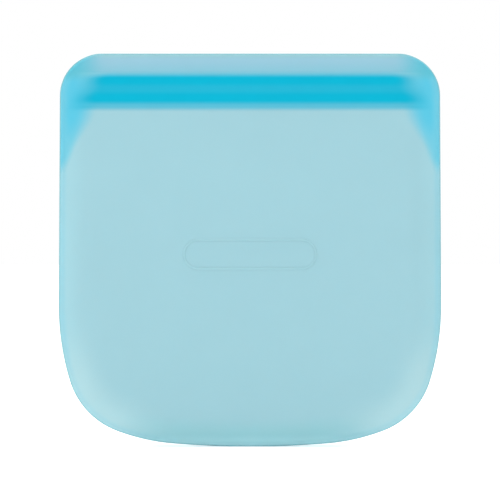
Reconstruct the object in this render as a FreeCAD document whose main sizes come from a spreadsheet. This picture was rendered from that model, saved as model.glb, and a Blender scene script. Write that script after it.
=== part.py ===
"""A flat reusable silicone food bag with a double press-to-close mouth.

The bag stands with its mouth up.  X runs across the width, Y runs through the thickness with the
front panel at -Y, and Z runs up.  The origin is the middle of the bottom edge, on the parting
plane between the front and the rear half.  All sizes are millimetres.

Three groups of pieces make the bag.  The frame is the bonded edge seam with a solid web in each
mouth corner.  The front half is a dished panel with a pull lip and two sealing ribs.  The rear
half is a dished panel with a pull lip and the two channels that the ribs press into.
"""

import FreeCAD
import Part
import Sketcher

import math
import os

DOC = FreeCAD.newDocument("silicone_bag")

# Driving dimensions.  Every cell is a plain number and every other size is worked out from these.
DIMENSIONS = [
    ("height", 188.0, "bottom edge to the top of the lips"),
    ("half_width", 91.55, "half of the greatest width"),
    ("bottom_radius", 457.0, "slow curve of the bottom edge"),
    ("bottom_angle", 4.65, "degrees that the slow curve turns on each side"),
    ("heel_radius", 98.0, "easing from the bottom edge into the lower corner"),
    ("heel_angle", 16.2, "degrees that this easing turns"),
    ("lower_radius", 37.0, "lower corners"),
    ("side_radius", 122.0, "easing from the lower corner into the side"),
    ("side_lean", 0.3, "degrees that the sides lean in towards the top"),
    ("top_radius", 20.0, "upper corners"),
    ("seam_width", 1.6, "bonded edge seam, measured across the face"),
    ("seam_thickness", 3.0, "bonded edge seam, through the bag"),
    ("seam_clearance", 0.3, "seam to a panel that moves"),
    ("parting_gap", 0.15, "each panel's rim to the parting plane"),
    ("pouch_depth", 9.0, "parting plane to a panel's outer face"),
    ("wall", 1.1, "panel wall"),
    ("rounding", 12.0, "width of the rounded border of the pouch"),
    ("pouch_top", 96.0, "top of the flat part of the pouch"),
    ("neck_top", 163.0, "where the pouch meets the closure"),
    ("closure_bottom", 161.5, "lower edge of the closure wall"),
    ("closure_top", 179.0, "upper edge of the closure wall"),
    ("closure_depth", 3.1, "parting plane to the closure's outer face"),
    ("closure_wall", 1.2, "closure wall"),
    ("lip_depth", 3.1, "parting plane to a lip's outer face"),
    ("lip_wall", 1.2, "pull lip"),
    ("rail_half", 76.0, "half of the length of a rib or channel"),
    ("lower_rail", 166.5, "height of the lower rib's middle"),
    ("rail_pitch", 9.4, "lower rib to upper rib"),
    ("rib_width", 2.2, "sealing rib"),
    ("rib_reach", 1.0, "how far a rib passes the parting plane"),
    ("groove_clearance", 0.3, "rib to channel, each side"),
    ("cheek", 1.4, "channel cheek"),
    ("cheek_reach", 1.5, "how far a cheek passes the parting plane"),
    ("groove_floor", 0.6, "channel floor"),
    ("web_width", 13.5, "corner web below the closure's end"),
    ("web_bottom", 133.5, "lowest point of a corner web"),
    ("web_tip", 2.0, "corner web at its lowest point"),
    ("web_clearance", 0.3, "corner web to a panel that moves"),
    ("mark_height", 92.0, "middle of the raised label frame"),
    ("mark_length", 64.0, "raised label frame, end to end"),
    ("mark_width", 15.0, "raised label frame, top to bottom"),
    ("mark_line", 1.2, "line of the raised label frame"),
    ("mark_rise", 0.35, "how far the label frame stands out"),
]

SHEET = DOC.addObject("Spreadsheet::Sheet", "dims")
for row, (alias, value, meaning) in enumerate(DIMENSIONS, start=1):
    SHEET.set(f"A{row}", alias)
    SHEET.set(f"B{row}", str(value))
    SHEET.set(f"C{row}", meaning)
    SHEET.setAlias(f"B{row}", alias)
DOC.recompute()

FRONT, REAR = 1, -1  # which way a half's depth runs from the parting plane: +1 is towards -Y
ORIGIN_POINT = (-1, 1)  # the sketch's own origin, as (geometry, point)
VERTICAL_AXIS = -2
START, END, CENTRE = 1, 2, 3
FLAT = FreeCAD.Vector(0, 0, 1)


def size(alias):
    """The number in one cell of the sheet."""
    return float(SHEET.get(alias))


def dim(alias):
    """One cell as an expression pair: the text that a constraint is bound to, and its number."""
    return f"dims.{alias}", size(alias)


def new_body(label):
    body = DOC.addObject("PartDesign::Body", label)
    body.Label = label
    return body


def origin_plane(body, role):
    return next(f for f in body.Origin.OriginFeatures if f.Role == role)


def new_sketch(body, name, role, offset="0"):
    """An empty sketch on one of the body's origin planes, moved along the plane's normal."""
    sketch = body.newObject("Sketcher::SketchObject", name)
    sketch.AttachmentSupport = (origin_plane(body, role), [""])
    sketch.MapMode = "FlatFace"
    sketch.setExpression("AttachmentOffset.Base.z", offset)
    return sketch


def bind(sketch, constraint, expression):
    """Adds a size constraint and ties it to the sheet."""
    index = sketch.addConstraint(constraint)
    sketch.setExpression(f"Constraints[{index}]", expression)
    return index


def add_arc(sketch, centre, radius, start, end):
    circle = Part.Circle(FreeCAD.Vector(*centre, 0), FLAT, radius)
    return sketch.addGeometry(Part.ArcOfCircle(circle, start, end))


def add_line(sketch, start, end):
    segment = Part.LineSegment(FreeCAD.Vector(*start, 0), FreeCAD.Vector(*end, 0))
    return sketch.addGeometry(segment)


def on_circle(centre, radius, angle):
    return centre[0] + radius * math.cos(angle), centre[1] + radius * math.sin(angle)


def add_outline(sketch, inset, top, corner):
    """The bag's outline in one sketch, as tangent arcs and lines.

    inset is how far the sides and the bottom lie inside the true outline, top is the height of
    the upper edge and corner the radius of the upper corners.  Each is a sheet expression with
    its present value: (text, number).
    """
    slow = math.radians(size("bottom_angle"))
    heel_turn = slow + math.radians(size("heel_angle"))
    lean = math.radians(size("side_lean"))
    bottom_r = size("bottom_radius") - inset[1]
    heel_r = size("heel_radius") - inset[1]
    lower_r = size("lower_radius") - inset[1]
    side_r = size("side_radius") - inset[1]
    corner_r, top_z = corner[1], top[1]
    side_x = size("half_width") - inset[1]

    # Right half, from the bottom up: each arc's centre lies on the last arc's end radius.
    down = -math.pi / 2
    bottom_centre = (0.0, size("bottom_radius"))
    joint_1 = on_circle(bottom_centre, bottom_r, down + slow)
    heel_centre = on_circle(joint_1, -heel_r, down + slow)
    joint_2 = on_circle(heel_centre, heel_r, down + heel_turn)
    lower_centre = on_circle(joint_2, -lower_r, down + heel_turn)
    # The side arc touches the lower corner and ends on the side line, which fixes where it starts.
    side_cx = side_x - side_r * math.cos(lean)
    turn = math.acos((side_cx - lower_centre[0]) / (lower_r - side_r))
    joint_3 = on_circle(lower_centre, lower_r, -turn)
    side_centre = on_circle(joint_3, -side_r, -turn)
    joint_4 = on_circle(side_centre, side_r, lean)
    rise = top_z - corner_r + corner_r * math.sin(lean) - joint_4[1]
    joint_5 = (joint_4[0] - rise * math.tan(lean), joint_4[1] + rise)
    corner_centre = on_circle(joint_5, -corner_r, lean)
    joint_6 = (corner_centre[0], top_z)

    def mirrored(point):
        return -point[0], point[1]

    bottom = add_arc(sketch, bottom_centre, bottom_r, down - slow, down + slow)
    top_line = add_line(sketch, joint_6, mirrored(joint_6))
    right, left = [], []
    arcs = [
        (heel_centre, heel_r, down + slow, down + heel_turn),
        (lower_centre, lower_r, down + heel_turn, -turn),
        (side_centre, side_r, -turn, lean),
        (corner_centre, corner_r, lean, math.pi / 2),
    ]
    for centre, radius, start, end in arcs:
        right.append(add_arc(sketch, centre, radius, start, end))
        left.append(add_arc(sketch, mirrored(centre), radius, math.pi - end, math.pi - start))
    heel, lower, side, top_corner = right
    right.insert(3, add_line(sketch, joint_4, joint_5))
    left.insert(3, add_line(sketch, mirrored(joint_5), mirrored(joint_4)))
    side_line = right[3]

    # Both halves run anticlockwise, so the left one is joined up from the top down.
    loop = [bottom, *right, top_line]
    for below, above in zip(loop, loop[1:]):
        sketch.addConstraint(Sketcher.Constraint("Tangent", below, END, above, START))
    loop = [top_line, *reversed(left), bottom]
    for above, below in zip(loop, loop[1:]):
        sketch.addConstraint(Sketcher.Constraint("Coincident", above, END, below, START))
    sketch.addConstraint(Sketcher.Constraint("Symmetric", top_line, START, top_line, END, VERTICAL_AXIS))
    for one, other in zip(right, left):
        sketch.addConstraint(Sketcher.Constraint("Symmetric", one, START, other, END, VERTICAL_AXIS))
        if one != side_line:
            sketch.addConstraint(Sketcher.Constraint("Equal", one, other))

    radii = [
        (bottom, bottom_r, "bottom"),
        (heel, heel_r, "heel"),
        (lower, lower_r, "lower"),
        (side, side_r, "side"),
    ]
    for arc, radius, name in radii:
        bind(sketch, Sketcher.Constraint("Radius", arc, radius), f"dims.{name}_radius - ({inset[0]})")
    bind(sketch, Sketcher.Constraint("Radius", top_corner, corner_r), corner[0])
    bind(sketch, Sketcher.Constraint("DistanceY", *ORIGIN_POINT, top_line, START, top_z), top[0])
    centre_height = Sketcher.Constraint("DistanceY", *ORIGIN_POINT, bottom, CENTRE, bottom_centre[1])
    bind(sketch, centre_height, "dims.bottom_radius")
    bottom_reach = f"(dims.bottom_radius - ({inset[0]})) * sin(dims.bottom_angle * 1 deg)"
    chord = Sketcher.Constraint("DistanceX", *ORIGIN_POINT, bottom, END, joint_1[0])
    bind(sketch, chord, bottom_reach)
    turned = "sin((dims.bottom_angle + dims.heel_angle) * 1 deg) - sin(dims.bottom_angle * 1 deg)"
    heel_reach = Sketcher.Constraint("DistanceX", *ORIGIN_POINT, heel, END, joint_2[0])
    bind(sketch, heel_reach, f"{bottom_reach} + (dims.heel_radius - ({inset[0]})) * ({turned})")
    reach = Sketcher.Constraint("DistanceX", *ORIGIN_POINT, side_line, START, joint_4[0])
    bind(sketch, reach, f"dims.half_width - ({inset[0]})")
    tilt = Sketcher.Constraint("Angle", side_line, math.pi / 2 + lean)
    bind(sketch, tilt, "90 deg + dims.side_lean * 1 deg")


def full_outline(sketch, inset="0", inset_now=0.0):
    """The true outline, or one parallel to it inside."""
    corner = (f"dims.top_radius - ({inset})", size("top_radius") - inset_now)
    top = (f"dims.height - ({inset})", size("height") - inset_now)
    add_outline(sketch, (inset, inset_now), top, corner)


def add_polygon(sketch, points):
    """A closed polygon: each point is an expression pair, ((text, number), (text, number))."""
    plain = [(x[1], y[1]) for x, y in points]
    lines = [add_line(sketch, a, b) for a, b in zip(plain, plain[1:] + plain[:1])]
    for a, b in zip(lines, lines[1:] + lines[:1]):
        sketch.addConstraint(Sketcher.Constraint("Coincident", a, END, b, START))
    for line, (x, y) in zip(lines, points):
        for kind, (text, now) in (("DistanceX", x), ("DistanceY", y)):
            bind(sketch, Sketcher.Constraint(kind, *ORIGIN_POINT, line, START, now), text)


def add_box(sketch, low, high):
    """A rectangle between two corners, each an (x, y) pair of expression pairs."""
    add_polygon(sketch, [low, (high[0], low[1]), high, (low[0], high[1])])


def beyond(times=1):
    """A place well outside the bag, as an expression pair: -1 is to the left or below."""
    return f"{times} * dims.height", times * size("height")


def pad(body, sketch, length, name, both_ways=False):
    feature = body.newObject("PartDesign::Pad", name)
    feature.Profile = sketch
    feature.setExpression("Length", length)
    feature.Midplane = both_ways
    return feature


def pocket_through(body, sketch, name):
    """Cuts the sketch's shape right through the body, both ways."""
    feature = body.newObject("PartDesign::Pocket", name)
    feature.Profile = sketch
    feature.setExpression("Length", "2 * dims.height")
    feature.Midplane = True
    return feature


def loft(body, kind, sketches, name):
    feature = body.newObject(f"PartDesign::{kind}Loft", name)
    feature.Profile = sketches[0]
    feature.Sections = sketches[1:]
    feature.Ruled = True
    return feature


# A pouch panel is a stack of outlines from the parting plane out to its flat face.  The border
# curls in towards the face as a quarter of an ellipse.  The top edge drops from the neck to the
# flat part in an easy S, and the upper corners widen on the way.
LEVELS = [  # share of the drop from the neck to the flat top, radius of the upper corners there
    (0.0, 1.5),
    (0.2, 5.0),
    (0.35, 10.0),
    (0.5, 15.0),
    (0.65, 20.0),
    (0.8, 24.0),
    (0.9, 27.0),
    (1.0, 28.0),
]


def pouch_sketches(body, half, name, depth, border, rounding, first, second, neck):
    """The outlines of one pouch surface, from the parting plane outwards.

    All but half and name are expression pairs: the deepest level, the inset of the rim, the width
    of the rounded border, the depth at the rim, the depth at the neck, and the neck's height.
    """
    deep_text, deep = depth
    neck_depth_text, neck_depth = second
    levels = [(first, (0.0, LEVELS[0][1]))]
    for drop, corner in LEVELS:
        ease = drop * drop * (3 - 2 * drop)
        text = f"{neck_depth_text} + {ease:.4f} * ({deep_text} - ({neck_depth_text}))"
        levels.append(((text, neck_depth + ease * (deep - neck_depth)), (drop, corner)))
    made = []
    for level, ((text, now), (drop, corner)) in enumerate(levels):
        curl_text = f"({rounding[0]}) * (1 - sqrt(1 - pow(({text}) / ({deep_text}); 2)))"
        curl_now = rounding[1] * (1 - math.sqrt(max(0.0, 1 - (now / deep) ** 2)))
        if drop == 1.0:
            curl_text, curl_now = rounding
        inset = (f"{border[0]} + {curl_text}", border[1] + curl_now)
        top_text = f"({neck[0]}) - {drop} * (({neck[0]}) - dims.pouch_top)"
        top = (top_text, neck[1] - drop * (neck[1] - size("pouch_top")))
        sketch = new_sketch(body, f"{name}_{level}", "XZ_Plane", f"{half} * ({text})")
        add_outline(sketch, inset, top, (f"{corner}", corner))
        made.append(sketch)
    return made


def web_points(grow_text="0", grow=0.0, side=1):
    """The corner web's shape, before the outline trims its outer edge."""
    inner_text = f"{side} * (dims.half_width - dims.web_width - ({grow_text}))"
    inner = side * (size("half_width") - size("web_width") - grow)
    tip_text = f"{side} * (dims.half_width - dims.seam_width - dims.web_tip - ({grow_text}))"
    tip = side * (size("half_width") - size("seam_width") - size("web_tip") - grow)
    floor = (f"dims.web_bottom - ({grow_text})", size("web_bottom") - grow)
    shoulder = dim("closure_bottom")
    ceiling = dim("height")
    return [
        ((inner_text, inner), ceiling),
        ((inner_text, inner), shoulder),
        ((tip_text, tip), floor),
        (beyond(side), floor),
        (beyond(side), ceiling),
    ]


def make_panel(label, half):
    """A dished panel: closure wall, rounded pouch, hollow, and room for the corner webs."""
    body = new_body(label)
    near = "dims.closure_depth - dims.closure_wall"
    wall_start = near if half == FRONT else "-dims.closure_depth"
    closure = new_sketch(body, f"{label}_closure_outline", "XZ_Plane", wall_start)
    full_outline(closure)
    pad(body, closure, "dims.closure_wall", f"{label}_closure_wall")
    below = new_sketch(body, f"{label}_below_closure", "XZ_Plane")
    add_box(below, (beyond(-1), beyond(-1)), (beyond(), dim("closure_bottom")))
    pocket_through(body, below, f"{label}_trim_below")
    above = new_sketch(body, f"{label}_above_closure", "XZ_Plane")
    add_box(above, (beyond(-1), dim("closure_top")), (beyond(), beyond(2)))
    pocket_through(body, above, f"{label}_trim_above")

    neck = dim("neck_top")
    border = ("dims.seam_width + dims.seam_clearance", size("seam_width") + size("seam_clearance"))
    outer = pouch_sketches(
        body, half, f"{label}_outer",
        depth=dim("pouch_depth"),
        border=border,
        rounding=dim("rounding"),
        first=dim("parting_gap"),
        second=dim("closure_depth"),
        neck=neck,
    )
    loft(body, "Additive", outer, f"{label}_pouch")
    inner_near = size("closure_depth") - size("closure_wall")
    inner = pouch_sketches(
        body, half, f"{label}_inner",
        depth=("dims.pouch_depth - dims.wall", size("pouch_depth") - size("wall")),
        border=(f"{border[0]} + dims.wall", border[1] + size("wall")),
        rounding=("dims.rounding - dims.wall", size("rounding") - size("wall")),
        first=("0", 0.0),
        second=(near, inner_near),
        neck=("dims.neck_top + dims.wall", size("neck_top") + size("wall")),
    )
    loft(body, "Subtractive", inner, f"{label}_hollow")

    for side, name in ((1, "right"), (-1, "left")):
        room = new_sketch(body, f"{label}_{name}_web_room", "XZ_Plane")
        add_polygon(room, web_points("dims.web_clearance", size("web_clearance"), side))
        cut = body.newObject("PartDesign::Pocket", f"{label}_{name}_web_cut")
        cut.Profile = room
        cut.setExpression("Length", f"2 * ({near})")
        cut.Midplane = True
    return body


def make_lip(label, half):
    """The pull lip above the closure."""
    body = new_body(label)
    start = "dims.lip_depth - dims.lip_wall" if half == FRONT else "-dims.lip_depth"
    outline = new_sketch(body, f"{label}_outline", "XZ_Plane", start)
    full_outline(outline)
    pad(body, outline, "dims.lip_wall", f"{label}_sheet")
    below = new_sketch(body, f"{label}_below", "XZ_Plane")
    add_box(below, (beyond(-1), beyond(-1)), (beyond(), dim("closure_top")))
    pocket_through(body, below, f"{label}_trim")
    return body


def make_seam(label):
    """The bonded edge: a bead round the sides, the bottom and the upper corners, open at the mouth."""
    body = new_body(label)
    outside = new_sketch(body, f"{label}_outside", "XZ_Plane")
    full_outline(outside)
    pad(body, outside, "dims.seam_thickness", f"{label}_block", both_ways=True)
    inside = new_sketch(body, f"{label}_inside", "XZ_Plane")
    full_outline(inside, "dims.seam_width", size("seam_width"))
    pocket_through(body, inside, f"{label}_opening")
    mouth = new_sketch(body, f"{label}_mouth", "XZ_Plane")
    reach = size("half_width") - size("web_width")
    left = ("dims.web_width - dims.half_width", -reach)
    right = ("dims.half_width - dims.web_width", reach)
    add_box(mouth, (left, dim("pouch_top")), (right, beyond(2)))
    pocket_through(body, mouth, f"{label}_mouth_cut")
    return body


def make_web(label, side):
    """The solid web that closes one corner of the mouth, tapering down the side."""
    body = new_body(label)
    shape = new_sketch(body, f"{label}_shape", "XZ_Plane")
    add_polygon(shape, web_points(side=side))
    thickness = "2 * (dims.closure_depth - dims.closure_wall - dims.web_clearance)"
    pad(body, shape, thickness, f"{label}_block", both_ways=True)
    trim = new_sketch(body, f"{label}_trim", "XZ_Plane")
    add_box(trim, (beyond(-2), beyond(-2)), (beyond(2), beyond(2)))
    full_outline(trim, "dims.seam_width", size("seam_width"))
    pocket_through(body, trim, f"{label}_outer_edge")
    return body


def make_rib(label, height_text, height):
    """A sealing rib with a round nose, on the front panel's inner face."""
    body = new_body(label)
    profile = new_sketch(body, f"{label}_profile", "YZ_Plane")
    root = -(size("closure_depth") - size("closure_wall"))
    radius = size("rib_width") / 2
    nose = size("rib_reach") - radius
    lower = add_line(profile, (root, height - radius), (nose, height - radius))
    tip = add_arc(profile, (nose, height), radius, -math.pi / 2, math.pi / 2)
    upper = add_line(profile, (nose, height + radius), (root, height + radius))
    back = add_line(profile, (root, height + radius), (root, height - radius))
    profile.addConstraint(Sketcher.Constraint("Tangent", lower, END, tip, START))
    profile.addConstraint(Sketcher.Constraint("Tangent", tip, END, upper, START))
    profile.addConstraint(Sketcher.Constraint("Coincident", upper, END, back, START))
    profile.addConstraint(Sketcher.Constraint("Coincident", back, END, lower, START))
    profile.addConstraint(Sketcher.Constraint("Horizontal", lower))
    profile.addConstraint(Sketcher.Constraint("Horizontal", upper))
    profile.addConstraint(Sketcher.Constraint("Vertical", back))
    bind(profile, Sketcher.Constraint("Radius", tip, radius), "dims.rib_width / 2")
    bind(profile, Sketcher.Constraint("DistanceY", *ORIGIN_POINT, tip, CENTRE, height), height_text)
    reach = Sketcher.Constraint("DistanceX", *ORIGIN_POINT, tip, CENTRE, nose)
    bind(profile, reach, "dims.rib_reach - dims.rib_width / 2")
    base = Sketcher.Constraint("DistanceX", *ORIGIN_POINT, back, START, root)
    bind(profile, base, "dims.closure_wall - dims.closure_depth")
    pad(body, profile, "2 * dims.rail_half", f"{label}_bar", both_ways=True)
    return body


def make_channel(label, height_text, height):
    """A U-shaped channel on the rear panel's inner face, which one rib presses into."""
    body = new_body(label)
    profile = new_sketch(body, f"{label}_profile", "YZ_Plane")
    root = ("dims.closure_depth - dims.closure_wall", size("closure_depth") - size("closure_wall"))
    floor = (f"{root[0]} - dims.groove_floor", root[1] - size("groove_floor"))
    mouth = ("-dims.cheek_reach", -size("cheek_reach"))
    half_groove = size("rib_width") / 2 + size("groove_clearance")
    half_groove_text = "dims.rib_width / 2 + dims.groove_clearance"

    def level(sign, cheeks):
        text = f"{height_text} + {sign} * ({half_groove_text} + {cheeks} * dims.cheek)"
        return text, height + sign * (half_groove + cheeks * size("cheek"))

    points = [
        (root, level(-1, 1)),
        (root, level(1, 1)),
        (mouth, level(1, 1)),
        (mouth, level(1, 0)),
        (floor, level(1, 0)),
        (floor, level(-1, 0)),
        (mouth, level(-1, 0)),
        (mouth, level(-1, 1)),
    ]
    add_polygon(profile, points)
    pad(body, profile, "2 * dims.rail_half", f"{label}_bar", both_ways=True)
    return body


def add_stadium(sketch, length, width, centre):
    """A round-ended slot: length, width and centre height are expression pairs."""
    radius = width[1] / 2
    reach = length[1] / 2 - radius
    right = add_arc(sketch, (reach, centre[1]), radius, -math.pi / 2, math.pi / 2)
    top = add_line(sketch, (reach, centre[1] + radius), (-reach, centre[1] + radius))
    left = add_arc(sketch, (-reach, centre[1]), radius, math.pi / 2, 3 * math.pi / 2)
    bottom = add_line(sketch, (-reach, centre[1] - radius), (reach, centre[1] - radius))
    loop = [right, top, left, bottom]
    for one, other in zip(loop, loop[1:] + loop[:1]):
        sketch.addConstraint(Sketcher.Constraint("Tangent", one, END, other, START))
    sketch.addConstraint(Sketcher.Constraint("Horizontal", top))
    sketch.addConstraint(Sketcher.Constraint("Symmetric", right, CENTRE, left, CENTRE, VERTICAL_AXIS))
    bind(sketch, Sketcher.Constraint("Radius", right, radius), f"({width[0]}) / 2")
    span = Sketcher.Constraint("DistanceX", *ORIGIN_POINT, right, CENTRE, reach)
    bind(sketch, span, f"(({length[0]}) - ({width[0]})) / 2")
    bind(sketch, Sketcher.Constraint("DistanceY", *ORIGIN_POINT, right, CENTRE, centre[1]), centre[0])


def make_mark(label):
    """A plain round-ended frame, raised on the front panel where a label would be written."""
    body = new_body(label)
    shape = new_sketch(body, f"{label}_shape", "XZ_Plane", "dims.pouch_depth")
    centre = dim("mark_height")
    length = dim("mark_length")
    width = dim("mark_width")
    add_stadium(shape, length, width, centre)
    line = 2 * size("mark_line")
    inner_length = ("dims.mark_length - 2 * dims.mark_line", length[1] - line)
    inner_width = ("dims.mark_width - 2 * dims.mark_line", width[1] - line)
    add_stadium(shape, inner_length, inner_width, centre)
    pad(body, shape, "dims.mark_rise", f"{label}_ring")
    return body


LOWER = ("dims.lower_rail", size("lower_rail"))
UPPER = ("dims.lower_rail + dims.rail_pitch", size("lower_rail") + size("rail_pitch"))

PARTS = [
    make_seam("perimeter_seam"),
    make_web("right_corner_web", 1),
    make_web("left_corner_web", -1),
    make_panel("front_panel", FRONT),
    make_lip("front_lip", FRONT),
    make_rib("front_upper_rib", *UPPER),
    make_rib("front_lower_rib", *LOWER),
    make_mark("raised_label_frame"),
    make_panel("rear_panel", REAR),
    make_lip("rear_lip", REAR),
    make_channel("rear_upper_channel", *UPPER),
    make_channel("rear_lower_channel", *LOWER),
]
DOC.recompute()

for thing in DOC.Objects:
    if {"Invalid", "Error"} & set(thing.State):
        raise RuntimeError(f"{thing.Label} did not recompute: {thing.State}")

os.makedirs("parts", exist_ok=True)
for part in PARTS:
    shape = part.Shape
    if shape.isNull() or not shape.isValid() or not shape.Solids:
        raise RuntimeError(f"{part.Label} has no valid solid")
    box = shape.BoundBox
    extent = f"{box.XLength:.2f} x {box.YLength:.2f} x {box.ZLength:.2f} mm"
    print(f"{part.Label}: {len(shape.Solids)} solid, {shape.Volume / 1000:.2f} cm3, {extent}")
    shape.exportStep(f"parts/{part.Label}.step")
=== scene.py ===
"""A flat reusable silicone food bag, closed, standing on a pale floor.

Each skin of the bag is one continuous moulded sheet with a real inner and outer face.  All the
shapes are worked out in millimetres from the outline and from the CAD frame, and are put into
meshes in metres.  The front half lies at -Y and the rear half at +Y.
"""

import math

import bpy
import numpy as np
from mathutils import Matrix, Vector


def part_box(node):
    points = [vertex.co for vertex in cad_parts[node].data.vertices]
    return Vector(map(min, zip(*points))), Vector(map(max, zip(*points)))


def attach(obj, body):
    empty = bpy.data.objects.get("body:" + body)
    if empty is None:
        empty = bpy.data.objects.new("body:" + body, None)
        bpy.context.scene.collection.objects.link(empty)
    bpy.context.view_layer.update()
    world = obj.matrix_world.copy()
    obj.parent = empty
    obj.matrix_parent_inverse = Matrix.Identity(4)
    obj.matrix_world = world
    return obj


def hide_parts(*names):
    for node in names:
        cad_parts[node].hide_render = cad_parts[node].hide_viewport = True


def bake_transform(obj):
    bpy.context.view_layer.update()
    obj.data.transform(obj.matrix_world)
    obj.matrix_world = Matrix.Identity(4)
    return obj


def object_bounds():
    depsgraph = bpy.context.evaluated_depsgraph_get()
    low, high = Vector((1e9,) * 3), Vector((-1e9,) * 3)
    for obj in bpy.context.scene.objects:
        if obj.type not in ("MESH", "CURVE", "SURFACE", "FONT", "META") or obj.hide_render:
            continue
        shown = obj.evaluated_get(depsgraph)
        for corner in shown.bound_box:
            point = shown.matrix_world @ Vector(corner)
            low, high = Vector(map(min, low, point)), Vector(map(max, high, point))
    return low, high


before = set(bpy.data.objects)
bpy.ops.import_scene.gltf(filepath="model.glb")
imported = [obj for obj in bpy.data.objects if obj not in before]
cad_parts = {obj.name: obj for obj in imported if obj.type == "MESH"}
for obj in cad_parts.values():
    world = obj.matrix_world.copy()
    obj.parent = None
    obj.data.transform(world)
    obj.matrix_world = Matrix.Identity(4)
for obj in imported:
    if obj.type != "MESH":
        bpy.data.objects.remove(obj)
CAD_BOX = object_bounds()

MM = 0.001
FRONT, REAR = -1, 1  # the side of the parting plane that a skin lies on

# The outline, in millimetres, as the CAD has it.
HEIGHT = CAD_BOX[1].z / MM
HALF_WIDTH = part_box("perimeter_seam")[1].x / MM
BOTTOM_RADIUS = 457.0
BOTTOM_TURN = math.radians(4.65)
HEEL_RADIUS = 98.0
HEEL_TURN = math.radians(16.2)
LOWER_RADIUS = 37.0
SIDE_RADIUS = 122.0
SIDE_LEAN = math.radians(0.3)
TOP_RADIUS = 20.0
OUTLINE_STEP = 1.9

# The closure, the corner webs and the pouch, in millimetres.
LOWER_RAIL = sum(c.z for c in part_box("front_lower_rib")) / 2 / MM
UPPER_RAIL = sum(c.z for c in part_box("front_upper_rib")) / 2 / MM
RAIL_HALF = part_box("front_upper_rib")[1].x / MM
CLOSURE_LOW, CLOSURE_HIGH = 161.5, 179.0
WEB_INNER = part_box("right_corner_web")[0].x / MM
WEB_SHOULDER, WEB_LOW = 161.5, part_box("right_corner_web")[0].z / MM
WEB_TIP = 87.9
WEB_EDGE_COSINE = 0.94  # turns a level distance from the leaning web edge into a square one
POUCH_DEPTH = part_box("rear_panel")[1].y / MM
LIP_LEVEL = 2.7
CLOSURE_SWELL = 0.4
WALL = 1.15
RIM_LEVEL = 1.0
RIM_RADIUS = 1.8
MOUTH_RADIUS = 0.7
POUCH_EASE = 16.0
PARTING_GAP = 0.15

SCENE = bpy.context.scene


# ---------------------------------------------------------------------------------------------
# Shape helpers
# ---------------------------------------------------------------------------------------------

def smooth(value, low, high):
    """0 below low, 1 above high, easing in between; low may be the larger."""
    t = np.clip((value - low) / (high - low), 0, 1)
    return t * t * (3 - 2 * t)


def arc_points(centre, radius, start, end):
    count = max(2, int(abs(end - start) * abs(radius) / 0.5))
    turn = np.linspace(start, end, count)
    return np.stack([centre[0] + radius * np.cos(turn), centre[1] + radius * np.sin(turn)], 1)


def on_circle(centre, radius, turn):
    return centre[0] + radius * math.cos(turn), centre[1] + radius * math.sin(turn)


def right_outline():
    """The right half of the outline, from the bottom's middle up to the top's middle."""
    down = -math.pi / 2
    bottom_centre = (0.0, BOTTOM_RADIUS)
    bottom_end = down + BOTTOM_TURN
    heel_end = bottom_end + HEEL_TURN
    heel_centre = on_circle(on_circle(bottom_centre, BOTTOM_RADIUS, bottom_end), -HEEL_RADIUS, bottom_end)
    lower_centre = on_circle(on_circle(heel_centre, HEEL_RADIUS, heel_end), -LOWER_RADIUS, heel_end)
    side_x = HALF_WIDTH - SIDE_RADIUS * math.cos(SIDE_LEAN)
    turn = math.acos((side_x - lower_centre[0]) / (LOWER_RADIUS - SIDE_RADIUS))
    side_centre = on_circle(on_circle(lower_centre, LOWER_RADIUS, -turn), -SIDE_RADIUS, -turn)
    side_low = on_circle(side_centre, SIDE_RADIUS, SIDE_LEAN)
    rise = HEIGHT - TOP_RADIUS + TOP_RADIUS * math.sin(SIDE_LEAN) - side_low[1]
    side_high = (side_low[0] - rise * math.tan(SIDE_LEAN), side_low[1] + rise)
    top_centre = on_circle(side_high, -TOP_RADIUS, SIDE_LEAN)
    pieces = [
        arc_points(bottom_centre, BOTTOM_RADIUS, down, bottom_end),
        arc_points(heel_centre, HEEL_RADIUS, bottom_end, heel_end),
        arc_points(lower_centre, LOWER_RADIUS, heel_end, -turn),
        arc_points(side_centre, SIDE_RADIUS, -turn, SIDE_LEAN),
        np.array([side_low, side_high]),
        arc_points(top_centre, TOP_RADIUS, SIDE_LEAN, math.pi / 2),
        np.array([(top_centre[0], HEIGHT), (0.0, HEIGHT)]),
    ]
    return np.concatenate(pieces)


def spaced(points, step):
    """The same line with its points evenly spaced."""
    runs = np.linalg.norm(np.diff(points, axis=0), axis=1)
    along = np.concatenate([[0], np.cumsum(runs)])
    marks = np.linspace(0, along[-1], int(round(along[-1] / step)) + 1)
    return np.stack([np.interp(marks, along, points[:, i]) for i in range(points.shape[1])], 1)


def closed_outline():
    """The whole outline, anticlockwise seen from the front, starting at the bottom's middle."""
    right = spaced(right_outline(), OUTLINE_STEP)
    left = right[-2:0:-1] * (-1, 1)
    return np.concatenate([right, left])


OUTLINE = closed_outline()
MIDDLE = np.array([0.0, HEIGHT / 2])


def outline_distance(points):
    """How far each (x, z) point lies from the outline."""
    a = OUTLINE
    b = np.roll(OUTLINE, -1, axis=0)
    run = b - a
    length = (run * run).sum(1)
    nearest = np.full(len(points), np.inf)
    for start, step, square in zip(a, run, length):
        share = np.clip(((points - start) @ step) / square, 0, 1)
        gap = np.linalg.norm(points - start - share[:, None] * step, axis=1)
        nearest = np.minimum(nearest, gap)
    return nearest


def web_edge(z):
    """The inner edge of the corner webs, as a distance from the middle of the bag."""
    slope = (WEB_TIP - WEB_INNER) / (WEB_SHOULDER - WEB_LOW)
    return WEB_INNER + slope * np.clip(WEB_SHOULDER - z, 0, None)


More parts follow.
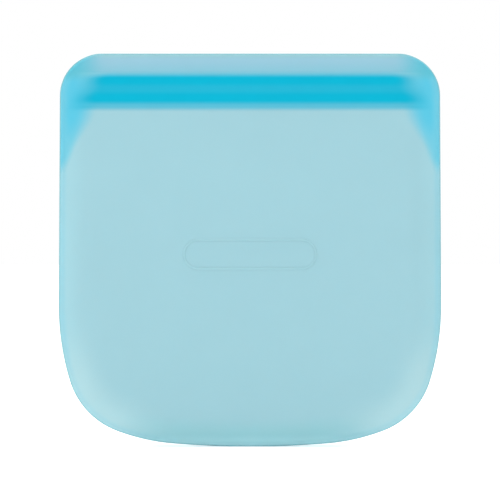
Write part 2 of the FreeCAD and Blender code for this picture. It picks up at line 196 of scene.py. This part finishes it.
def ripple(x, z):
    """The slight unevenness of a soft sheet, from -1 to 1."""
    return (
        0.45 * np.sin(x / 23.0 + 0.7) * np.sin(z / 31.0 + 1.1)
        + 0.35 * np.sin(x / 13.0 - z / 17.0 + 2.0)
        + 0.20 * np.sin(x / 7.5 + z / 11.0 + 0.3)
    )


def skin_faces(x, z, inset):
    """Distance of a skin's outer and inner face from the parting plane at each point."""
    side = np.abs(x)
    mouth = smooth(side, WEB_INNER + 1, WEB_INNER - 5) * smooth(z, 150, 176)
    closure = smooth(z, CLOSURE_LOW - 1.6, CLOSURE_LOW + 0.8)
    closure = closure * smooth(z, CLOSURE_HIGH + 0.2, CLOSURE_HIGH - 1.6)
    closure = closure * smooth(side, 90, 80)
    from_web = np.clip((web_edge(z) - side) * WEB_EDGE_COSINE, 0, None)
    clear = np.clip(np.minimum(inset - 1.0, from_web), 0, POUCH_EASE) / POUCH_EASE
    swell = 1 - (1 - clear) ** 2.3
    swell = swell * smooth(z, CLOSURE_LOW - 1, 96)
    level = LIP_LEVEL + CLOSURE_SWELL * closure + swell * (POUCH_DEPTH - LIP_LEVEL)
    level = level + 0.22 * swell * ripple(x, z)
    rim = RIM_LEVEL + mouth * (level - 0.5 - RIM_LEVEL)
    radius = RIM_RADIUS + mouth * (MOUTH_RADIUS - RIM_RADIUS)
    edge = np.clip(inset / radius, 0, 1)
    outer = rim + (level - rim) * np.sqrt(1 - (1 - edge) ** 2)
    inner = outer + mouth * (level - outer) - WALL
    return outer, np.maximum(inner, PARTING_GAP)


# ---------------------------------------------------------------------------------------------
# Mesh helpers
# ---------------------------------------------------------------------------------------------

def new_piece(name, points, faces, material):
    """A smooth mesh object from points in millimetres, with its rest place kept for materials."""
    mesh = bpy.data.meshes.new(name)
    mesh.from_pydata([tuple(p) for p in np.asarray(points) * MM], [], faces)
    mesh.validate()
    mesh.update()
    mesh.shade_smooth()
    rest = mesh.attributes.new("rest_mm", "FLOAT_VECTOR", "POINT")
    rest.data.foreach_set("vector", np.asarray(points, np.float32).ravel())
    piece = bpy.data.objects.new(name, mesh)
    SCENE.collection.objects.link(piece)
    mesh.materials.append(material)
    return piece


def add_number(piece, name, values):
    """Stores one number per point for the materials to read."""
    made = piece.data.attributes.new(name, "FLOAT", "POINT")
    made.data.foreach_set("value", np.asarray(values, np.float32))


def loft(rings, closed_ring=True, cap_start=False, cap_end=False):
    """Points and quads that join rings of equal length, one after another."""
    count = len(rings[0])
    points = np.concatenate(rings)
    faces = []
    last = count if closed_ring else count - 1
    for r in range(len(rings) - 1):
        for i in range(last):
            j = (i + 1) % count
            low, high = r * count, (r + 1) * count
            faces.append((low + i, low + j, high + j, high + i))
    if cap_start:
        faces.append(tuple(range(count - 1, -1, -1)))
    if cap_end:
        top = (len(rings) - 1) * count
        faces.append(tuple(top + i for i in range(count)))
    return points, faces


def bow(piece):
    """Folds the points onto the right side, bakes the object's transform into the mesh and puts the
    original points back, so the piece is left as it was.
    """
    vertices = piece.data.vertices
    places = np.empty(len(vertices) * 3, np.float32)
    vertices.foreach_get("co", places)
    folded = places.copy()
    folded[0::3] = np.abs(folded[0::3])
    vertices.foreach_set("co", folded)
    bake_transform(piece)
    vertices.foreach_set("co", places)
    piece.data.update()


# ---------------------------------------------------------------------------------------------
# Materials
# ---------------------------------------------------------------------------------------------

FACE_LIGHT = 1.455  # how strongly the studio lights an upright face
FACE_GLOSS = 0.006  # what the gloss adds to it


def seen(red, green, blue):
    """The base colour that looks like this one, given from 0 to 255, in the studio's light."""
    def base(value):
        value /= 255
        linear = value / 12.92 if value <= 0.04045 else ((value + 0.055) / 1.055) ** 2.4
        return max(0.0, (linear - FACE_GLOSS) / FACE_LIGHT)

    return base(red), base(green), base(blue), 1.0


class Nodes:
    """A small helper that writes a material's node tree."""

    def __init__(self, name):
        self.material = bpy.data.materials.new(name)
        self.material.use_nodes = True
        self.tree = self.material.node_tree
        self.shader = self.tree.nodes["Principled BSDF"]

    def node(self, kind, **settings):
        made = self.tree.nodes.new(kind)
        for key, value in settings.items():
            setattr(made, key, value)
        return made

    def link(self, source, target):
        self.tree.links.new(source, target)

    def attribute(self, name, output):
        return self.node("ShaderNodeAttribute", attribute_name=name).outputs[output]

    def place(self):
        """The rest place's x, y and z, in millimetres."""
        split = self.node("ShaderNodeSeparateXYZ")
        self.link(self.attribute("rest_mm", "Vector"), split.inputs[0])
        return split.outputs

    def number(self, operation, first, second=None):
        made = self.node("ShaderNodeMath", operation=operation)
        for socket, value in zip(made.inputs, (first, second)):
            if isinstance(value, bpy.types.NodeSocket):
                self.link(value, socket)
            elif value is not None:
                socket.default_value = value
        return made.outputs[0]

    def ease(self, value, low, high):
        """0 at low and 1 at high, smoothly; low may be the larger."""
        made = self.node("ShaderNodeMapRange", interpolation_type="SMOOTHSTEP")
        small, large = min(low, high), max(low, high)
        self.link(value, made.inputs["Value"])
        made.inputs["From Min"].default_value = small
        made.inputs["From Max"].default_value = large
        made.inputs["To Min"].default_value = 0.0 if low < high else 1.0
        made.inputs["To Max"].default_value = 1.0 if low < high else 0.0
        return made.outputs[0]

    def mix(self, share, first, second):
        made = self.node("ShaderNodeMix", data_type="RGBA")
        for socket, value in ((made.inputs[0], share), (made.inputs[6], first), (made.inputs[7], second)):
            if isinstance(value, bpy.types.NodeSocket):
                self.link(value, socket)
            else:
                socket.default_value = value
        return made.outputs[2]

    def noise(self, scale, detail=3.0, rough=0.5):
        """Noise over the rest place; scale is in cells per millimetre."""
        made = self.node("ShaderNodeTexNoise")
        self.link(self.attribute("rest_mm", "Vector"), made.inputs["Vector"])
        made.inputs["Scale"].default_value = scale
        made.inputs["Detail"].default_value = detail
        made.inputs["Roughness"].default_value = rough
        return made.outputs["Fac"]


def silicone_finish(nodes, colour):
    """The satin, faintly grained surface that every silicone piece has."""
    mottle = nodes.noise(0.045, 4.0)
    tone = nodes.node("ShaderNodeHueSaturation")
    nodes.link(colour, tone.inputs["Color"])
    value = nodes.node("ShaderNodeMapRange")
    nodes.link(mottle, value.inputs["Value"])
    value.inputs["To Min"].default_value = 0.985
    value.inputs["To Max"].default_value = 1.015
    nodes.link(value.outputs[0], tone.inputs["Value"])
    shader = nodes.shader
    nodes.link(tone.outputs[0], shader.inputs["Base Color"])

    gloss = nodes.node("ShaderNodeMapRange")
    nodes.link(nodes.noise(0.12, 5.0, 0.6), gloss.inputs["Value"])
    gloss.inputs["To Min"].default_value = 0.46
    gloss.inputs["To Max"].default_value = 0.60
    nodes.link(gloss.outputs[0], shader.inputs["Roughness"])

    grain = nodes.node("ShaderNodeBump")
    nodes.link(nodes.noise(2.6, 2.0, 0.55), grain.inputs["Height"])
    grain.inputs["Strength"].default_value = 0.12
    grain.inputs["Distance"].default_value = 0.00008
    nodes.link(grain.outputs[0], shader.inputs["Normal"])

    shader.inputs["IOR"].default_value = 1.41
    shader.inputs["Specular IOR Level"].default_value = 0.08
    shader.inputs["Subsurface Weight"].default_value = 0.25
    shader.inputs["Subsurface Radius"].default_value = (0.6, 1.0, 1.1)
    shader.inputs["Subsurface Scale"].default_value = 0.0015
    return nodes.material


# The silicone's colours, as they look on an upright face.
BODY = seen(167, 212, 222)
CURVE_PAINTED_LIGHT = seen(170, 217, 227)  # painted light: lighter where the wall curves in towards the seam
CORNER_PAINTED_LIGHT = seen(181, 221, 228)  # painted light: the lower corners are lighter
RIM = seen(161, 216, 229)  # the bonded rim
CORNER_LIGHT_RIM_LOSS = 0.55  # the painted light hides this much of the rim's colour in the lower corners
EDGE_PAINTED_SHADE = seen(140, 195, 204)  # painted shade: the darker line round the very outside, where the wall turns away
# painted shade: darker along the rounded bottom, where the wall turns away from the light
BOTTOM_PAINTED_SHADE = seen(159, 211, 219)
UNDERSIDE_PAINTED_LIGHT = seen(180, 231, 240)  # painted light: brighter near the floor, standing in for light that comes through the part in shade
WEB = seen(98, 205, 232)
WEB_TIP_TONE = seen(136, 213, 231)
WEB_TOP_TONE = seen(102, 198, 217)
WEB_RIM = seen(119, 208, 230)
DEEP = seen(12, 186, 217)  # the thickest silicone, where a rib sits in its channel
LIP_ROOT = seen(144, 203, 220)
LIP = seen(158, 205, 223)
BRIM = seen(161, 209, 216)

# Painted light: the inside is this much lighter than the outside, standing in for the light that comes in
# through the wall.
LIGHT_THROUGH = 0.6

# How much of the closure's deep tint its thick wall gives, what the ribs in their channels add,
# and how much is missing between the two ribs.
WALL_TINT, RAIL_TINT, BETWEEN_RAILS = 0.47, 0.53, 0.20
UPPER_SHORTER = 0.5  # how much sooner the tint ends at each side, per millimetre of height


def web_share(x, z):
    """How much the corner webs tint the skin at each point, from 0 to 1, with a soft edge."""
    soft = 2.0 + 4.2 * smooth(z, 142, 158) + 3.5 * smooth(z, CLOSURE_LOW, CLOSURE_HIGH)
    gap = (web_edge(z) - np.abs(x)) * WEB_EDGE_COSINE + 0.8
    share = smooth(gap, soft, -soft) * smooth(z, WEB_LOW - 4, WEB_LOW + 7)
    return 1 - (1 - share) ** 2


def closure_share(nodes, side, z):
    """How much of the deep colour the closure shows, for its thick wall and the ribs in it.

    Light goes through the silicone and back out, so what is left of the pale colour is squared.
    """
    wall = nodes.number("MULTIPLY", nodes.ease(z, CLOSURE_LOW - 1.4, CLOSURE_LOW + 1.4),
                        nodes.ease(z, CLOSURE_HIGH + 1.0, CLOSURE_HIGH - 1.4))
    rails = nodes.number("MULTIPLY", nodes.ease(z, LOWER_RAIL - 3.5, LOWER_RAIL),
                         nodes.ease(z, UPPER_RAIL + 2.3, UPPER_RAIL))
    half_way = (LOWER_RAIL + UPPER_RAIL) / 2
    from_middle = nodes.number("ABSOLUTE", nodes.number("SUBTRACT", z, half_way))
    missing = nodes.number("MULTIPLY", nodes.ease(from_middle, 4.2, 0.6), BETWEEN_RAILS)
    added = nodes.number("MULTIPLY", rails, nodes.number("SUBTRACT", RAIL_TINT, missing))
    tint = nodes.number("ADD", nodes.number("MULTIPLY", wall, WALL_TINT), added)
    above_lower = nodes.number("SUBTRACT", z, LOWER_RAIL)
    reach = nodes.number("ADD", side, nodes.number("MULTIPLY", above_lower, UPPER_SHORTER))
    tint = nodes.number("MULTIPLY", tint, nodes.ease(reach, WEB_INNER + 9.5, RAIL_HALF - 3.5))
    pale = nodes.number("SUBTRACT", 1.0, tint)
    return nodes.number("SUBTRACT", 1.0, nodes.number("MULTIPLY", pale, pale))


def skin_material():
    """Translucent aqua silicone, deeper where it is thick: ribs, webs and seam; painted shade on the
    rounded bottom and the outline's edge, painted light on the curved margins, lower corners, underside
    and inside.
    """
    nodes = Nodes("skin_silicone")
    x, _, z = nodes.place()
    side = nodes.number("ABSOLUTE", x)
    inset = nodes.attribute("inset_mm", "Fac")
    web = nodes.attribute("web_share", "Fac")

    # painted light on the curved margins near the seam
    colour = nodes.mix(nodes.ease(inset, 13, 3), BODY, CURVE_PAINTED_LIGHT)
    # painted light in the lower corners, which also hides part of the rim's colour
    corner = nodes.number("MULTIPLY", nodes.ease(side, 34, 64), nodes.ease(z, 62, 30))
    colour = nodes.mix(nodes.number("MULTIPLY", corner, nodes.ease(inset, 20, 5)), colour, CORNER_PAINTED_LIGHT)
    lost = nodes.number("MULTIPLY", corner, CORNER_LIGHT_RIM_LOSS)
    rim = nodes.number("MULTIPLY", nodes.ease(inset, 4.4, 1.8), nodes.number("SUBTRACT", 1.0, lost))
    colour = nodes.mix(rim, colour, RIM)
    # painted shade along the rounded bottom
    bottom = nodes.number("MULTIPLY", nodes.ease(inset, 15, 5.5), nodes.ease(z, 30, 12))
    bottom = nodes.number("MULTIPLY", bottom, nodes.ease(side, 66, 30))
    colour = nodes.mix(bottom, colour, BOTTOM_PAINTED_SHADE)
    # painted light on the underside, lifting the shade near the floor
    colour = nodes.mix(nodes.ease(z, 6.5, 0.5), colour, UNDERSIDE_PAINTED_LIGHT)

    lip = nodes.mix(nodes.ease(z, CLOSURE_HIGH, HEIGHT - 3), LIP_ROOT, LIP)
    lip = nodes.mix(nodes.ease(z, HEIGHT - 3, HEIGHT), lip, BRIM)
    colour = nodes.mix(nodes.ease(z, CLOSURE_HIGH - 0.5, CLOSURE_HIGH + 0.5), colour, lip)
    web_colour = nodes.mix(nodes.ease(z, WEB_LOW + 4, WEB_SHOULDER - 3), WEB_TIP_TONE, WEB)
    web_colour = nodes.mix(nodes.ease(inset, 5.5, 1.0), web_colour, WEB_RIM)
    web_colour = nodes.mix(nodes.ease(z, CLOSURE_HIGH - 5, CLOSURE_HIGH), web_colour, WEB_TOP_TONE)
    colour = nodes.mix(web, colour, web_colour)
    colour = nodes.mix(closure_share(nodes, side, z), colour, DEEP)
    # painted shade along the very outside of the outline
    colour = nodes.mix(nodes.ease(inset, 0.7, 0.2), colour, EDGE_PAINTED_SHADE)

    # painted light on the inner faces
    inside = nodes.number("MULTIPLY", nodes.attribute("inside", "Fac"), LIGHT_THROUGH)
    lit = nodes.node("ShaderNodeHueSaturation")
    nodes.link(colour, lit.inputs["Color"])
    nodes.link(nodes.number("ADD", inside, 1.0), lit.inputs["Value"])
    return silicone_finish(nodes, lit.outputs[0])


def tinted_material(name, deep, pale):
    """Thicker silicone, which looks deeper in colour; it varies a little along the piece."""
    nodes = Nodes(name)
    colour = nodes.mix(nodes.noise(0.03, 2.0), deep, pale)
    return silicone_finish(nodes, colour)


# ---------------------------------------------------------------------------------------------
# Pieces
# ---------------------------------------------------------------------------------------------

RING_INSETS = np.concatenate([
    [0.0, 0.2, 0.45, 0.75, 1.1, 1.5, 2.0, 2.6, 3.3, 4.1, 5.0, 5.9, 6.8, 7.6],
    np.arange(8.3, 30.0, 0.8),
    np.arange(30.2, 88.0, 1.9),
])


def ring_at(inset):
    """The outline shrunk towards the bag's middle, so that its sides lie inset further in."""
    return MIDDLE + (1 - inset / HALF_WIDTH) * (OUTLINE - MIDDLE)


def make_skin(name, side, material):
    """One half of the bag: a single sheet from the seam up to the top of its pull lip."""
    outer, inner, insets = [], [], []
    for inset in RING_INSETS:
        flat = ring_at(inset + 0.05)
        true_inset = outline_distance(flat)
        out, into = skin_faces(flat[:, 0], flat[:, 1], true_inset)
        outer.append(np.stack([flat[:, 0], side * out, flat[:, 1]], 1))
        inner.append(np.stack([flat[:, 0], side * into, flat[:, 1]], 1))
        insets.append(true_inset)
    brim = (outer[0] + inner[0]) / 2
    brim[:, [0, 2]] = ring_at(-0.12)
    rings = outer[::-1] + [brim] + inner
    points, faces = loft(rings)
    count = len(OUTLINE)
    centre_out = len(points)
    ends = [np.mean(rings[0], axis=0), np.mean(rings[-1], axis=0)]
    points = np.concatenate([points, ends])
    last = (len(rings) - 1) * count
    for i in range(count):
        j = (i + 1) % count
        faces.append((centre_out, j, i))
        faces.append((centre_out + 1, last + i, last + j))
    if side == REAR:
        faces = [f[::-1] for f in faces]
    piece = new_piece(name, points, faces, material)
    depth = np.concatenate(insets[::-1] + [np.zeros(count)] + insets + [[HALF_WIDTH, HALF_WIDTH]])
    inner_share = [0.0] * len(outer) + [0.5] + [1.0] * len(inner)
    inside = np.concatenate([np.repeat(inner_share, count), [0.0, 1.0]])
    add_number(piece, "inset_mm", depth)
    add_number(piece, "inside", inside)
    add_number(piece, "web_share", web_share(points[:, 0], points[:, 2]))
    bow(piece)
    return piece


def make_rail(name, profile, material):
    """A rib or channel: a profile in (y, z) drawn along the closure, rounded off at its ends."""
    profile = np.array(profile)
    heart = profile.mean(axis=0)
    stations = np.linspace(-RAIL_HALF, RAIL_HALF, 81)
    rings = []
    for x in stations:
        to_end = RAIL_HALF - abs(x)
        size = 0.55 + 0.45 * math.sqrt(1 - (1 - min(to_end / 2.0, 1.0)) ** 2)
        ring = heart + (profile - heart) * size
        rings.append(np.stack([np.full(len(ring), x), ring[:, 0], ring[:, 1]], 1))
    points, faces = loft(rings, cap_start=True, cap_end=True)
    piece = new_piece(name, points, faces, material)
    bow(piece)
    return piece


def rib_profile(height):
    """A rib with a round nose, rooted in the front skin's inner face."""
    half = 1.05
    turn = np.linspace(-math.pi / 2, math.pi / 2, 9)
    nose = np.stack([0.95 - half + half * np.cos(turn), height + half * np.sin(turn)], 1)
    foot = np.array([
        (-1.6, height + half), (-2.3, height + 1.5), (-2.3, height - 1.5), (-1.6, height - half),
    ])
    return np.concatenate([nose, foot])


def channel_profile(height):
    """A U-shaped channel with rounded cheeks, rooted in the rear skin's inner face."""
    slot, cheek, tip, floor, root = 1.42, 1.3, -1.4, 1.35, 2.3
    half = cheek / 2
    turn = np.linspace(0, math.pi, 7)
    mouth = tip + half
    upper = [(mouth - half * math.sin(a), height + slot + half + half * math.cos(a)) for a in turn]
    lower = [(mouth - half * math.sin(a), height - slot - half + half * math.cos(a)) for a in turn]
    base = [(root, height - slot - cheek - 0.4), (root, height + slot + cheek + 0.4)]
    groove = [(floor - 0.4, height + slot), (floor, height + slot - 0.5)]
    groove += [(floor, height - slot + 0.5), (floor - 0.4, height - slot)]
    return upper + groove + lower + base


def make_seam(material):
    """The bonded bead round the sides and the bottom, which runs on up into the top corners."""
    right = spaced(right_outline(), 1.0)
    stop = WEB_INNER + 0.6
    keep = (right[:, 1] < HEIGHT - TOP_RADIUS) | (right[:, 0] > stop)
    right = right[keep]
    path = np.concatenate([right[::-1], right[1:] * (-1, 1)])
    run = np.gradient(path, axis=0)
    run /= np.linalg.norm(run, axis=1)[:, None]
    inward = np.stack([-run[:, 1], run[:, 0]], 1)
    inward *= np.sign(((MIDDLE - path) * inward).sum(1))[:, None]
    turn = np.linspace(0, 2 * math.pi, 16, endpoint=False)
    half_across, half_through, rounding = 1.0, 1.3, 2.0
    rings = []
    for i, (spot, into) in enumerate(zip(path, inward)):
        to_end = min(i, len(path) - 1 - i)
        size = math.sqrt(1 - (1 - min((to_end + 0.3) / rounding, 1.0)) ** 2)
        across = half_across - half_across * size * np.cos(turn)
        flat = spot + across[:, None] * into
        rings.append(np.stack([flat[:, 0], half_through * size * np.sin(turn), flat[:, 1]], 1))
    points, faces = loft(rings, cap_start=True, cap_end=True)
    piece = new_piece("seam_bead", points, faces, material)
    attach(piece, "seam_frame")
    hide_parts("perimeter_seam")
    return piece


def make_web(name, node, side, material):
    """The solid corner that ends the mouth, with a softly rounded inner edge."""
    right = spaced(right_outline(), 0.5)
    upright = right[right[:, 1] > 60]
    rows = np.concatenate([np.arange(WEB_LOW, 182.0, 1.6), np.arange(182.4, HEIGHT - 1.0, 0.7)])
    half_thickness, thin_end = 1.75, 0.35
    seam_cover, least_width = 1.3, 0.6
    rings = []
    for z in rows:
        crossing = upright[np.argmin(np.abs(upright[:, 1] - z) - 0.001 * upright[:, 0])][0]
        outer = crossing - seam_cover
        inner = min(float(web_edge(z)), outer - least_width)
        taper = min(1.0, thin_end + (z - WEB_LOW) / 9.0, thin_end + (HEIGHT - 0.6 - z) / 1.6)
        thick = half_thickness * taper
        nose = min(thick, (outer - inner) / 2)
        turn = np.linspace(-math.pi / 2, math.pi / 2, 9)
        edge = [(inner + nose - nose * math.cos(a), thick * math.sin(a)) for a in turn]
        shape = edge + [(outer, thick * 0.9), (outer + 0.3, 0.0), (outer, -thick * 0.9)]
        rings.append(np.array([(side * px, py, z) for px, py in shape]))
    points, faces = loft(rings, cap_start=True, cap_end=True)
    if side > 0:
        faces = [f[::-1] for f in faces]
    piece = new_piece(name, points, faces, material)
    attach(piece, "seam_frame")
    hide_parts(node)
    return piece


def make_label_frame(material):
    """The plain raised frame on the front, which stands 0.3 mm proud of the skin."""
    low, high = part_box("raised_label_frame")
    length, width = (high.x - low.x) / MM, (high.z - low.z) / MM
    line, ridge, sunk = 1.3, 0.36, 0.06
    radius = (width - line) / 2
    reach = length / 2 - line / 2 - radius
    middle = (high.z + low.z) / 2 / MM
    right = arc_points((reach, middle), radius, -math.pi / 2, math.pi / 2)
    left = arc_points((-reach, middle), radius, math.pi / 2, 3 * math.pi / 2)
    path = spaced(np.concatenate([right, left, right[:1]]), 0.8)[:-1]
    run = np.roll(path, -1, axis=0) - np.roll(path, 1, axis=0)
    run /= np.linalg.norm(run, axis=1)[:, None]
    normal = np.stack([run[:, 1], -run[:, 0]], 1)
    turn = np.linspace(0, math.pi, 7)
    rings = []
    for a in list(turn) + [None]:
        across = 0.0 if a is None else line / 2 * math.cos(a)
        proud = -0.25 if a is None else ridge * math.sin(a) - sunk
        flat = path + across * normal
        face = skin_faces(flat[:, 0], flat[:, 1], outline_distance(flat))[0]
        rings.append(np.stack([flat[:, 0], FRONT * (face + proud), flat[:, 1]], 1))
    rings.append(rings[0])
    points, faces = loft(rings)
    piece = new_piece("label_frame", points, faces, material)
    add_number(piece, "inset_mm", np.full(len(points), 40.0))
    add_number(piece, "inside", np.zeros(len(points)))
    add_number(piece, "web_share", np.zeros(len(points)))
    bow(piece)
    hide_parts("raised_label_frame")
    return piece


# ---------------------------------------------------------------------------------------------
# The bag
# ---------------------------------------------------------------------------------------------

SKIN = skin_material()
RAIL = tinted_material("rail_silicone", seen(38, 184, 214), seen(58, 192, 220))
WEB_SILICONE = tinted_material("web_silicone", seen(96, 200, 228), seen(112, 206, 232))
BEAD = tinted_material("bead_silicone", seen(150, 211, 227), seen(158, 215, 230))

front = make_skin("front_skin", FRONT, SKIN)
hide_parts("front_panel", "front_lip")
rear = make_skin("rear_skin", REAR, SKIN)
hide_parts("rear_panel", "rear_lip")
make_seam(BEAD)
make_web("left_web", "left_corner_web", -1, WEB_SILICONE)
make_web("right_web", "right_corner_web", 1, WEB_SILICONE)
for place, height in (("upper", UPPER_RAIL), ("lower", LOWER_RAIL)):
    rib = make_rail(f"{place}_rib", rib_profile(height), RAIL)
    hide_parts(f"front_{place}_rib")
    channel = make_rail(f"{place}_channel", channel_profile(height), RAIL)
    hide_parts(f"rear_{place}_channel")
make_label_frame(SKIN)


# ---------------------------------------------------------------------------------------------
# Floor, light and camera
# ---------------------------------------------------------------------------------------------

def make_floor():
    size = 12.0
    mesh = bpy.data.meshes.new("floor")
    corners = [(-size, -size, 0), (size, -size, 0), (size, size, 0), (-size, size, 0)]
    mesh.from_pydata(corners, [], [(0, 1, 2, 3)])
    floor = bpy.data.objects.new("floor", mesh)
    SCENE.collection.objects.link(floor)
    nodes = Nodes("floor_paper")
    coordinates = nodes.node("ShaderNodeTexCoord")
    speckle = nodes.node("ShaderNodeTexNoise")
    nodes.link(coordinates.outputs["Object"], speckle.inputs["Vector"])
    speckle.inputs["Scale"].default_value = 40.0
    nodes.link(nodes.mix(speckle.outputs["Fac"], (0.93, 0.93, 0.93, 1), (0.96, 0.96, 0.96, 1)),
               nodes.shader.inputs["Base Color"])
    nodes.shader.inputs["Emission Color"].default_value = (1.0, 1.0, 1.0, 1.0)
    nodes.shader.inputs["Emission Strength"].default_value = 0.3
    nodes.shader.inputs["Roughness"].default_value = 0.9
    nodes.shader.inputs["Specular IOR Level"].default_value = 0.2
    mesh.materials.append(nodes.material)


def add_area_light(name, place, target, size, power):
    data = bpy.data.lights.new(name, "AREA")
    data.shape = "DISK"
    data.size = size
    data.energy = power
    light = bpy.data.objects.new(name, data)
    light.location = place
    aim = np.array(target) - np.array(place)
    light.rotation_euler = Vector(aim).to_track_quat("-Z", "Y").to_euler()
    SCENE.collection.objects.link(light)


def make_world():
    world = bpy.data.worlds.new("studio")
    world.use_nodes = True
    background = world.node_tree.nodes["Background"]
    background.inputs["Color"].default_value = (1.0, 1.0, 1.0, 1.0)
    background.inputs["Strength"].default_value = 1.0
    SCENE.world = world


def make_camera():
    """Straight at the front, level, with a long lens."""
    lens, sensor = 150.0, 36.0
    view_width = 0.2399  # metres across the picture at the bag's middle
    height = 0.09407
    data = bpy.data.cameras.new("camera")
    data.lens = lens
    data.sensor_width = sensor
    camera = bpy.data.objects.new("camera", data)
    camera.location = (0.0, -view_width * lens / sensor, height)
    camera.rotation_euler = (math.pi / 2, 0, 0)
    SCENE.collection.objects.link(camera)
    SCENE.camera = camera


make_floor()
make_world()
add_area_light("top_light", (0.0, -0.1, 1.2), (0, 0, 0.05), 0.9, 6.0)
add_area_light("key_light", (-0.7, -1.0, 0.9), (0, 0, 0.09), 0.7, 4.0)
add_area_light("back_light", (0.7, 1.0, 0.9), (0, 0, 0.09), 0.7, 4.0)
make_camera()
SCENE.view_settings.view_transform = "Standard"
